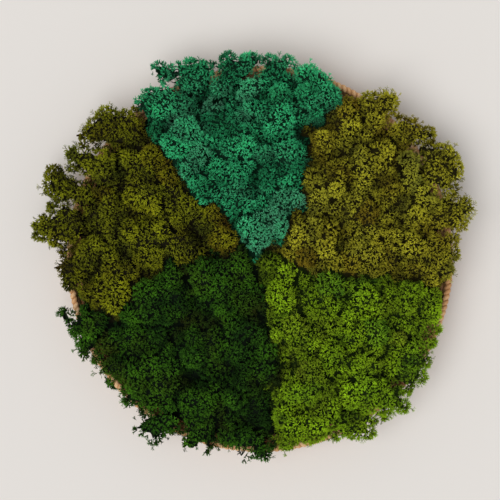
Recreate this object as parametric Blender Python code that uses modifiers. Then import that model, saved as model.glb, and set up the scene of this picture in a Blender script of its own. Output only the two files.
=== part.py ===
"""A shallow round wicker tray, heaped with clumps of preserved reindeer moss in five dyed colours.

Units are metres, with +Z up. The origin is the middle of the tray's underside, where it rests.
Seen from above with +Y at the top, the teal moss is at the top and the colours follow round the tray:
olive, lime, forest green and khaki. Each clump is a solid of its own, with two to six rounded heads.
"""

import math

import bmesh
import bpy
import numpy as np

# The tray
TRAY_RADIUS = 0.175        # out to the far side of the border
TRAY_HEIGHT = 0.040        # up to the top of the border
BORDER_THICKNESS = 0.0068  # the rope-like border that finishes the weave
FOOT_RADIUS = 0.156        # outside of the wall, where it stands
WALL_THICKNESS = 0.0045
FLOOR_THICKNESS = 0.0040
ROUND_STEPS = 48           # faces round the tray

# The heap of moss
CROWN_HEIGHT = 0.080       # the top of a head at the tray's middle
SHOULDER_HEIGHT = 0.057    # the top of a head over the border
FORK_HEIGHT = 0.044        # where a clump's stems part
FORK_RADIUS = 0.012
FORK_REACH = 0.163         # no clump forks further out than this
FOOT_REACH = 0.148         # and none stands further out than this
STEM_RADIUS = 0.013        # of the bundle of stems that a clump stands on
SKIRT_LOBES = 9            # lower lobes round a clump, which close it up to its neighbours
LOBE_RADIUS = 0.014
LOBE_DEPTH = 0.011         # of their tops below the heap's smooth crown
LOBE_SPREAD = 0.005        # past the heads
LOBE_REACH = 0.154         # no lobe is centred further out than this
HEAD_VARIATION = 0.003     # neighbouring heads stand a little higher or lower
SEED = 7

# Fits
GAP = 0.0003               # between pieces that touch
BORDER_CLEARANCE = 0.0012  # between the moss and the tray's wall or border

# How finely a clump is made
RAY_SUBDIVISIONS = 4       # of the ball whose points are pushed out to the clump's surface
STEM_STEPS = 7             # balls along each stem
PART_DIRECTIONS = 180      # directions tried for the plane between two clumps
FORK_ROOM = 0.004          # from a fork to the planes beside it
CLUMP_FACES = 116          # after thinning out

# The photograph looks straight down. Its pixels place the heads, and these turn them into metres.
PICTURE_MIDDLE = np.array([260.0, 259.0])  # pixel of the tray's middle
BORDER_PIXELS = 194.0                      # the border's outer radius in pixels
NEARER = 0.98                              # the moss is nearer to the camera than the border is
PIXEL = TRAY_RADIUS / BORDER_PIXELS * NEARER

# Each clump is (lift in millimetres, its heads), and each head is (x, y, radius) in pixels.
# A clump with a lift stands above the heap's smooth crown, and one with a drop sinks into it.
CLUMPS = {
    "teal": [
        (-2, [(158, 66, 12), (181, 67, 11), (202, 70, 16)]),
        (1, [(160, 104, 20), (186, 97, 19), (140, 104, 11), (158, 130, 14)]),
        (0, [(226, 60, 11), (222, 84, 17), (250, 62, 16)]),
        (1, [(278, 68, 17), (286, 60, 9), (250, 90, 17)]),
        (5, [(312, 88, 24), (328, 96, 16), (302, 74, 13), (313, 110, 13)]),
        (2, [(285, 106, 19), (282, 130, 15), (262, 110, 14)]),
        (2, [(182, 124, 17), (174, 148, 15), (196, 156, 16), (188, 172, 12)]),
        (-3, [(213, 118, 18), (240, 124, 17), (214, 144, 15), (238, 150, 17)]),
        (1, [(264, 152, 14), (289, 153, 18), (294, 172, 14), (268, 180, 18)]),
        (1, [(214, 172, 13), (242, 180, 16), (208, 194, 13), (236, 205, 17)]),
        (3, [(290, 200, 14), (277, 217, 16), (284, 230, 10), (248, 228, 16), (261, 237, 12)]),
    ],
    "olive": [
        (2, [(388, 101, 15), (366, 107, 14), (374, 126, 14)]),
        (0, [(346, 118, 17), (326, 145, 17), (346, 146, 13), (348, 104, 9)]),
        (-2, [(404, 120, 9), (413, 127, 11), (431, 133, 11), (396, 133, 13)]),
        (1, [(384, 152, 19), (360, 152, 13), (386, 173, 14), (364, 174, 15)]),
        (3, [(417, 165, 17), (411, 188, 14), (390, 196, 14)]),
        (0, [(453, 154, 13), (446, 174, 18), (435, 150, 11), (461, 172, 8)]),
        (0, [(328, 168, 14), (310, 188, 13), (318, 208, 16), (334, 190, 14)]),
        (0, [(358, 192, 15), (368, 212, 17), (350, 226, 14), (377, 232, 16), (342, 207, 12)]),
        (1, [(424, 206, 17), (410, 222, 13), (444, 216, 16), (467, 207, 13), (459, 226, 9)]),
        (2, [(300, 230, 14), (304, 247, 15), (326, 240, 14), (328, 255, 12)]),
        (-1, [(352, 254, 16), (376, 256, 16), (396, 262, 14), (394, 240, 12)]),
        (3, [(416, 250, 16), (441, 252, 18), (424, 271, 14), (446, 270, 13)]),
    ],
    "lime": [
        (-1, [(266, 265, 13), (291, 270, 13), (281, 298, 17), (283, 313, 12)]),
        (-1, [(326, 288, 16), (344, 288, 12), (326, 311, 15), (308, 292, 13)]),
        (2, [(366, 297, 17), (386, 308, 13), (349, 314, 14)]),
        (1, [(405, 298, 15), (431, 300, 15), (433, 316, 12), (414, 328, 14)]),
        (-1, [(296, 326, 16), (310, 344, 15), (276, 324, 9)]),
        (-2, [(372, 328, 17), (354, 342, 14), (338, 330, 12), (388, 336, 11)]),
        (0, [(330, 352, 15), (350, 366, 14), (373, 364, 15)]),
        (-1, [(412, 347, 13), (424, 363, 11), (410, 377, 15), (394, 364, 14)]),
        (5, [(298, 392, 17), (316, 380, 16), (310, 405, 12)]),
        (3, [(350, 395, 17), (370, 396, 15), (390, 400, 14), (404, 409, 10)]),
        (4, [(284, 418, 14), (290, 437, 14), (318, 430, 16), (328, 411, 12)]),
        (-2, [(348, 424, 17), (366, 434, 10), (366, 418, 12)]),
    ],
    "forest": [
        (-3, [(62, 316, 12), (71, 334, 8), (90, 328, 15), (82, 353, 11)]),
        (-6, [(114, 334, 16), (138, 342, 15), (161, 336, 15)]),
        (-2, [(150, 300, 20), (172, 286, 15), (136, 316, 13), (180, 310, 15)]),
        (-1, [(202, 278, 17), (240, 262, 15), (224, 290, 15), (247, 292, 13), (222, 314, 16)]),
        (-3, [(216, 344, 15), (196, 356, 14), (192, 334, 13), (240, 352, 14), (246, 324, 15)]),
        (-3, [(266, 348, 13), (268, 374, 16), (244, 382, 13)]),
        (-1, [(112, 368, 14), (140, 370, 17), (163, 364, 14), (142, 396, 18), (166, 392, 14)]),
        (-2, [(206, 398, 18), (186, 404, 13), (198, 428, 15), (190, 446, 12), (206, 452, 9)]),
        (-6, [(240, 408, 19), (262, 416, 12), (258, 398, 12)]),
        (-3, [(142, 430, 13), (152, 444, 9), (166, 424, 14)]),
        (-3, [(226, 436, 15), (248, 444, 14), (244, 460, 9), (265, 458, 10)]),
    ],
    "khaki": [
        (1, [(106, 122, 18), (88, 132, 12), (133, 122, 14), (134, 138, 11)]),
        (1, [(70, 154, 11), (92, 164, 16), (104, 178, 13)]),
        (-1, [(52, 177, 12), (60, 192, 15), (82, 196, 14)]),
        (0, [(134, 158, 15), (136, 178, 15), (152, 166, 13), (134, 200, 15), (153, 198, 15)]),
        (0, [(66, 214, 17), (44, 228, 15), (66, 234, 15), (32, 226, 7)]),
        (-2, [(108, 198, 15), (94, 218, 14), (112, 228, 14)]),
        (-2, [(190, 206, 16), (212, 214, 12), (175, 221, 13), (172, 186, 13), (223, 238, 16)]),
        (-1, [(162, 236, 15), (186, 240, 16), (190, 256, 12), (136, 234, 15), (142, 256, 14)]),
        (-2, [(94, 246, 16), (80, 264, 13), (62, 268, 11), (66, 284, 10)]),
        (0, [(98, 294, 16), (118, 292, 15), (114, 309, 10), (114, 268, 14)]),
    ],
}

# Colour, roughness
FINISHES = {
    "teal": ((0.010, 0.165, 0.085), 0.9),
    "olive": ((0.110, 0.105, 0.008), 0.9),
    "lime": ((0.060, 0.160, 0.004), 0.9),
    "forest": ((0.008, 0.048, 0.006), 0.9),
    "khaki": ((0.070, 0.075, 0.006), 0.9),
    "wicker": ((0.480, 0.230, 0.090), 0.6),
}


def clear_scene():
    for obj in list(bpy.data.objects):
        bpy.data.objects.remove(obj, do_unlink=True)


def new_collection(name):
    collection = bpy.data.collections.new(name)
    bpy.context.scene.collection.children.link(collection)
    return collection


def new_material(name):
    colour, roughness = FINISHES[name]
    material = bpy.data.materials.new(name)
    material.use_nodes = True
    shader = material.node_tree.nodes["Principled BSDF"]
    shader.inputs["Base Color"].default_value = (*colour, 1)
    shader.inputs["Roughness"].default_value = roughness
    material.diffuse_color = (*colour, 1)
    return material


def add_object(name, mesh, material, collection):
    obj = bpy.data.objects.new(name, mesh)
    mesh.materials.append(material)
    collection.objects.link(obj)
    return obj


def turned(name, profile, material, collection):
    """A ring turned about Z from a closed outline of (radius, height) points, listed down its outer side."""
    mesh = bpy.data.meshes.new(name)
    points = [(radius, 0, height) for radius, height in profile]
    edges = [(i, (i + 1) % len(points)) for i in range(len(points))]
    mesh.from_pydata(points, edges, [])
    obj = add_object(name, mesh, material, collection)
    screw = obj.modifiers.new("Turn", "SCREW")
    screw.angle = math.tau
    screw.axis = "Z"
    screw.steps = screw.render_steps = ROUND_STEPS
    screw.use_merge_vertices = True
    screw.merge_threshold = 1e-5
    screw.use_smooth_shade = True
    return obj


# Tray

BORDER_RADIUS = BORDER_THICKNESS / 2
BORDER_CENTRE = (TRAY_RADIUS - BORDER_RADIUS, TRAY_HEIGHT - BORDER_RADIUS)
WALL_TOP = TRAY_HEIGHT - BORDER_THICKNESS - GAP


def wall_outside(height):
    """The wall's outer radius: it leans out from the foot in a soft curve and comes up under the border."""
    share = height / WALL_TOP
    top_radius = BORDER_CENTRE[0] + WALL_THICKNESS / 2
    return FOOT_RADIUS + (top_radius - FOOT_RADIUS) * math.sin(share * math.pi / 2)


def make_floor(material, collection):
    """The woven floor: a round mat inside the foot of the wall."""
    bpy.ops.mesh.primitive_cylinder_add(
        vertices=ROUND_STEPS,
        radius=wall_outside(0) - WALL_THICKNESS - GAP,
        depth=FLOOR_THICKNESS,
        location=(0, 0, FLOOR_THICKNESS / 2),
    )
    floor = bpy.context.object
    floor.name = floor.data.name = "tray_floor"
    floor.data.materials.append(material)
    for owner in list(floor.users_collection):
        owner.objects.unlink(floor)
    collection.objects.link(floor)
    return floor


def make_wall(material, collection):
    heights = np.linspace(WALL_TOP, 0, 5)
    outside = [(wall_outside(h), h) for h in heights]
    inside = [(wall_outside(h) - WALL_THICKNESS, h) for h in heights[::-2]]
    return turned("tray_wall", outside + inside, material, collection)


def make_border(material, collection):
    """The border lies on the wall's top edge."""
    sides = 8
    angles = [math.pi / 2 - math.tau * (i + 0.5) / sides for i in range(sides)]
    radius, height = BORDER_CENTRE
    outline = [
        (radius + BORDER_RADIUS * math.cos(a), height + BORDER_RADIUS * math.sin(a))
        for a in angles
    ]
    return turned("tray_border", outline, material, collection)


def make_tray_cutter(material, collection):
    """The room that the moss leaves round the wall and the border, as a ring to cut with."""
    radius, height = BORDER_CENTRE
    out = BORDER_RADIUS + BORDER_CLEARANCE
    heights = np.linspace(WALL_TOP, 0, 4)[1:]
    top = [(radius + share * out, height + out) for share in (-0.5, 0.5)]
    outside = [(radius + out, height + share * out) for share in (0.4, -0.8)]
    outside += [(wall_outside(h) + BORDER_CLEARANCE, h) for h in heights]
    below = -0.01
    foot = [(FOOT_RADIUS + BORDER_CLEARANCE, below)]
    foot += [(FOOT_RADIUS - WALL_THICKNESS - BORDER_CLEARANCE, below)]
    inside = [(wall_outside(h) - WALL_THICKNESS - BORDER_CLEARANCE, h) for h in heights[::-1]]
    inside += [(radius - out, height + share * out) for share in (-0.8, 0.4)]
    cutter = turned("tray_clearance", top + outside + foot + inside, material, collection)
    cutter.hide_render = True
    cutter.display_type = "WIRE"
    return cutter


# Moss clumps


def on_tray(x, y):
    """Where a pixel of the photograph lies on the tray, in metres."""
    offset = (np.array([x, y]) - PICTURE_MIDDLE) * PIXEL
    return np.array([offset[0], -offset[1]])


def crown_at(place):
    """How high the heap's smooth crown is over a point of the tray."""
    fall = (np.linalg.norm(place) / TRAY_RADIUS) ** 2
    return CROWN_HEIGHT - (CROWN_HEIGHT - SHOULDER_HEIGHT) * fall


def heads_of(clump, rng):
    """The clump's heads as rows of x, y, z and radius. They follow the heap's crown."""
    lift, heads = clump
    rows = []
    for x, y, pixels in heads:
        place = on_tray(x, y)
        radius = pixels * PIXEL
        top = crown_at(place) + lift / 1000 + rng.uniform(-HEAD_VARIATION, HEAD_VARIATION)
        rows.append([place[0], place[1], top - radius, radius])
    return np.array(rows)


def within(middle, reach):
    """The point (x, y), pulled in towards the tray's middle where it is further out than the reach."""
    return middle * min(1, reach / np.linalg.norm(middle))


def fork_of(heads):
    """Where the clump's stems part: under the middle of its heads."""
    return np.array([*within(heads[:, :2].mean(axis=0), FORK_REACH), FORK_HEIGHT])


def foot_of(fork):
    """The lower end of the clump, as a ball that stands on the tray's floor."""
    height = FLOOR_THICKNESS + STEM_RADIUS
    return np.array([*within(fork[:2], FOOT_REACH), height, STEM_RADIUS])


def skirt_of(heads, fork):
    """The ring of lower lobes under the heads' outer sides."""
    rows = []
    for turn in np.linspace(0, math.tau, SKIRT_LOBES, endpoint=False):
        way = np.array([math.cos(turn), math.sin(turn)])
        reach = ((heads[:, :2] - fork[:2]) @ way + heads[:, 3]).max()
        place = within(fork[:2] + (reach + LOBE_SPREAD - LOBE_RADIUS) * way, LOBE_REACH)
        rows.append([*place, crown_at(place) - LOBE_DEPTH - LOBE_RADIUS, LOBE_RADIUS])
    return np.array(rows)


def plane_between(heads, fork, other_heads, other_fork):
    """The upright plane that parts two clumps with the least cut, as a normal and an offset."""
    turns = np.linspace(0, math.tau, PART_DIRECTIONS, endpoint=False)
    normals = np.stack([np.cos(turns), np.sin(turns)])
    edge = (heads[:, :2] @ normals + heads[:, 3:]).max(axis=0)
    other_edge = (other_heads[:, :2] @ normals - other_heads[:, 3:]).min(axis=0)
    nearest = fork[:2] @ normals + FORK_ROOM
    furthest = other_fork[:2] @ normals - FORK_ROOM
    offset = np.clip((edge + other_edge) / 2, nearest, furthest)
    cut = np.maximum(edge - offset, 0) + np.maximum(offset - other_edge, 0)
    best = np.argmin(np.where(nearest < furthest, cut, np.inf))
    return np.array([*normals[:, best], 0.0]), offset[best]


def planes_between(clumps):
    """For each clump, the planes that keep it clear of the floor and of the other clumps."""
    floor_plane = (np.array([0, 0, -1.0]), -(FLOOR_THICKNESS + GAP))
    planes = [[floor_plane] for _ in clumps]
    for i, (heads, fork) in enumerate(clumps):
        for j, (other_heads, other_fork) in enumerate(clumps[:i]):
            normal, offset = plane_between(heads, fork, other_heads, other_fork)
            planes[i].append((normal, offset - GAP / 2))
            planes[j].append((-normal, -offset - GAP / 2))
    return planes


def reach_along(directions, fork, balls, planes):
    """How far the clump's surface is from its fork in each direction, inside its planes."""
    reach = np.zeros(len(directions))
    for *centre, radius in balls:
        for share in np.linspace(0, 1, STEM_STEPS):
            middle = (np.array(centre) - fork) * share
            ball = FORK_RADIUS + (radius - FORK_RADIUS) * share
            along = directions @ middle
            inside = ball**2 - (middle @ middle - along**2)
            leaves = along + np.sqrt(np.maximum(inside, 0))
            reach = np.maximum(reach, np.where(inside > 0, leaves, 0))
    return np.minimum(reach, room_along(directions, fork, planes))


def room_along(directions, fork, planes):
    """How far each direction runs before it meets one of the planes round the clump."""
    room = np.full(len(directions), np.inf)
    for normal, offset in planes:
        slope = directions @ normal
        limit = (offset - normal @ fork) / np.maximum(slope, 1e-9)
        room = np.where(slope > 1e-9, np.minimum(room, limit), room)
    return room


def vertices_of(mesh):
    places = np.empty(len(mesh.vertices) * 3)
    mesh.vertices.foreach_get("co", places)
    return places.reshape(-1, 3)


def push_out(mesh, fork, distance_along):
    """Sets each vertex at the distance that distance_along gives for its direction from the fork."""
    rays = vertices_of(mesh) - fork
    lengths = np.linalg.norm(rays, axis=1)
    directions = rays / lengths[:, None]
    distances = distance_along(directions, lengths)
    mesh.vertices.foreach_set("co", (fork + directions * distances[:, None]).ravel())
    mesh.update()


def thinned(mesh, faces):
    """A copy of the mesh with about this many triangles, which keeps more of them where it curves."""
    helper = bpy.data.objects.new("thinning", mesh)
    bpy.context.scene.collection.objects.link(helper)
    decimate = helper.modifiers.new("Thin out", "DECIMATE")
    decimate.ratio = faces / len(mesh.polygons)
    evaluated = helper.evaluated_get(bpy.context.evaluated_depsgraph_get())
    result = bpy.data.meshes.new_from_object(evaluated)
    bpy.data.objects.remove(helper)
    return result


def clump_mesh(name, fork, balls, planes):
    """One closed, lumpy solid that is seen whole from its fork, so it can't cross itself."""
    ball = bmesh.new()
    bmesh.ops.create_icosphere(ball, subdivisions=RAY_SUBDIVISIONS, radius=FORK_RADIUS)
    bmesh.ops.translate(ball, verts=ball.verts, vec=fork)
    fine = bpy.data.meshes.new(name)
    ball.to_mesh(fine)
    ball.free()
    push_out(fine, fork, lambda way, _: reach_along(way, fork, balls, planes))
    mesh = thinned(fine, CLUMP_FACES)
    mesh.name = name
    push_out(mesh, fork, lambda way, now: np.minimum(now, room_along(way, fork, planes)))
    return mesh


def make_clumps(materials, cutter, collection):
    rng = np.random.default_rng(SEED)
    names = []
    clumps = []
    for colour, listed in CLUMPS.items():
        for number, clump in enumerate(listed, 1):
            heads = heads_of(clump, rng)
            names.append((f"{colour}_moss_{number:02d}", colour))
            clumps.append((heads, fork_of(heads)))
    border_inside = BORDER_CENTRE[0] - BORDER_THICKNESS
    for (name, colour), (heads, fork), planes in zip(names, clumps, planes_between(clumps)):
        balls = [*heads, *skirt_of(heads, fork), foot_of(fork)]
        mesh = clump_mesh(name, fork, balls, planes)
        obj = add_object(name, mesh, materials[colour], collection)
        if np.linalg.norm(vertices_of(mesh)[:, :2], axis=1).max() > border_inside:
            cut = obj.modifiers.new("Clear the tray", "BOOLEAN")
            cut.operation = "DIFFERENCE"
            cut.object = cutter


def main():
    clear_scene()
    parts = new_collection("moss_tray")
    cutters = new_collection("cutters")
    materials = {name: new_material(name) for name in FINISHES}
    wicker = materials["wicker"]
    make_floor(wicker, parts)
    make_wall(wicker, parts)
    make_border(wicker, parts)
    cutter = make_tray_cutter(wicker, cutters)
    make_clumps(materials, cutter, parts)


main()
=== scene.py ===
# %% [markdown]
# # A wicker tray heaped with preserved moss
#
# The real object is a shallow round tray, woven from peeled wicker, and packed with reindeer moss.
# Reindeer moss is a lichen: each clump is a tuft of fine stems that fork again and again, and ends in
# rounded heads like tiny trees. These clumps are dyed, and each fifth of the tray holds one colour.
#
# This script dresses the plain solids of that tray. It works from big to small: where the heads are,
# the dark inside of each clump, the twigs on it, and then the weave of the tray.

# %% Load the frame
import math

import bmesh
import bpy
import numpy as np
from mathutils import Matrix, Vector
from mathutils.bvhtree import BVHTree
from mathutils.geometry import delaunay_2d_cdt


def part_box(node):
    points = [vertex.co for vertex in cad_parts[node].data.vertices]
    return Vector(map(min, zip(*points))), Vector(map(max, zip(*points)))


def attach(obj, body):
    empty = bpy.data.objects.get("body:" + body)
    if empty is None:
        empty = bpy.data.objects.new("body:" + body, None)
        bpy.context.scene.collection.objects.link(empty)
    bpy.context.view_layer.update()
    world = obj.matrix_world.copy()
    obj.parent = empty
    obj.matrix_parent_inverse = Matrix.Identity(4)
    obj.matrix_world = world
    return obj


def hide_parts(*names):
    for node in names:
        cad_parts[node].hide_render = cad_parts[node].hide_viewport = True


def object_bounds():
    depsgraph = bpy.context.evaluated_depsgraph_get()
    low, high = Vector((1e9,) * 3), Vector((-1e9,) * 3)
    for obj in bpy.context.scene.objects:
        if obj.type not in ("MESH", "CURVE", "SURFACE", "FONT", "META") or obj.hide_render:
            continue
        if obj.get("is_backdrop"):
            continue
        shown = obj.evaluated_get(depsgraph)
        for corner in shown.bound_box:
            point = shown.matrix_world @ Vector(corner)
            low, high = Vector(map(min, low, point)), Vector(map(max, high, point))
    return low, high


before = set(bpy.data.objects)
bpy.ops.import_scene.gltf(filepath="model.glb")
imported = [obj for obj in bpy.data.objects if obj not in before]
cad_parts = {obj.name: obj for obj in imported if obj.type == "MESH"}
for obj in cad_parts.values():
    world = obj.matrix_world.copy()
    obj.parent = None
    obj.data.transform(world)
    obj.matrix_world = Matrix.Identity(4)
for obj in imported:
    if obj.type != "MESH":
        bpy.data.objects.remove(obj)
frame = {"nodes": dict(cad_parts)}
cad_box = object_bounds()
nodes = frame["nodes"]
print(f"{len(nodes)} solids in the frame")

# %% [markdown]
# ## Nodes from one call each
#
# Shaders and Geometry Nodes are both trees of nodes. Two small classes keep them readable. A `Nodes`
# adds a node from its type, its settings and the values of its sockets. A `Wire` is what comes out of it,
# and it takes part in Python sums: `2 * wire + 1` adds the two Math nodes that work it out.


# %% Wires and nodes
def maths(operation, swapped=False):
    """A method that adds one Math node, with the wire itself first or, if swapped, last."""

    def method(self, *others):
        values = (*others, self) if swapped else (self, *others)
        return self.nodes("ShaderNodeMath", {"operation": operation}, dict(enumerate(values)))

    return method


class Wire:
    """An output socket that works in Python expressions."""

    def __init__(self, nodes, socket):
        self.nodes = nodes
        self.socket = socket

    __add__ = __radd__ = maths("ADD")
    __sub__ = maths("SUBTRACT")
    __rsub__ = maths("SUBTRACT", swapped=True)
    __mul__ = __rmul__ = maths("MULTIPLY")
    __truediv__ = maths("DIVIDE")
    __rtruediv__ = maths("DIVIDE", swapped=True)
    at_least = maths("MAXIMUM")
    above = maths("GREATER_THAN")
    sine = maths("SINE")
    cosine = maths("COSINE")

    def output(self, name):
        """Another output of the same node."""
        return Wire(self.nodes, in_use(self.socket.node.outputs, name))


def in_use(sockets, name):
    """The socket of that name. A node such as Mix hides one of each name for every other data type."""
    return next(socket for socket in sockets if socket.enabled and socket.name == name)


class Nodes:
    """Adds a node to a tree each time that it is called."""

    def __init__(self, tree):
        self.tree = tree

    def __call__(self, kind, settings=None, values=None):
        made = self.tree.nodes.new(kind)
        for name, setting in (settings or {}).items():
            if name == "stops":
                self.set_stops(made.color_ramp.elements, setting)
            else:
                setattr(made, name, setting)
        for name, value in (values or {}).items():
            socket = made.inputs[name] if isinstance(name, int) else in_use(made.inputs, name)
            self.fill(socket, value)
        return Wire(self, next(socket for socket in made.outputs if socket.enabled))

    def fill(self, socket, value):
        for item in value if isinstance(value, list) else [value]:
            if isinstance(item, Wire):
                self.tree.links.new(item.socket, socket)
            else:
                socket.default_value = item

    def set_stops(self, elements, stops):
        while len(elements) < len(stops):
            elements.new(1)
        for element, (position, colour) in zip(elements, stops):
            element.position = position
            element.color = (*colour, 1)


# %% [markdown]
# ## Where the heads are
#
# The photograph looks straight down, so a head's place on the tray can be read off it as a pixel. Three
# sizes turn pixels into metres: the tray's radius, the same radius in pixels, and how much nearer to the
# camera the moss is than the border. Each head is (x, y, radius) in pixels. Some have a fourth number,
# 1 for a head that is brighter than its neighbours and -1 for a darker one, and a fifth, 1 for a browner
# and -1 for a greyer one. The height is left to the solids: a head reaches up to its clump's own surface.

# %% From pixels to metres
PICTURE_MIDDLE = np.array([260.0, 259.0])  # pixel of the tray's middle
BORDER_PIXELS = 194.0                      # the border's outer radius in pixels
NEARER = 0.98                              # the moss is nearer to the camera, so it looks larger

border_low, border_high = (np.array(corner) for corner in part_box("tray_border"))
TRAY_RADIUS = float(border_high[0])
TRAY_HEIGHT = float(border_high[2])
BORDER_PIXEL = TRAY_RADIUS / BORDER_PIXELS  # metres to a pixel at the border's height
PIXEL = BORDER_PIXEL * NEARER


def on_tray(x, y):
    """Where a pixel of the photograph lies on the tray, in metres."""
    return (x - PICTURE_MIDDLE[0]) * PIXEL, (PICTURE_MIDDLE[1] - y) * PIXEL


print(f"tray radius {TRAY_RADIUS:.4f} m, {PIXEL * 1000:.3f} mm to a pixel of moss")

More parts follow.
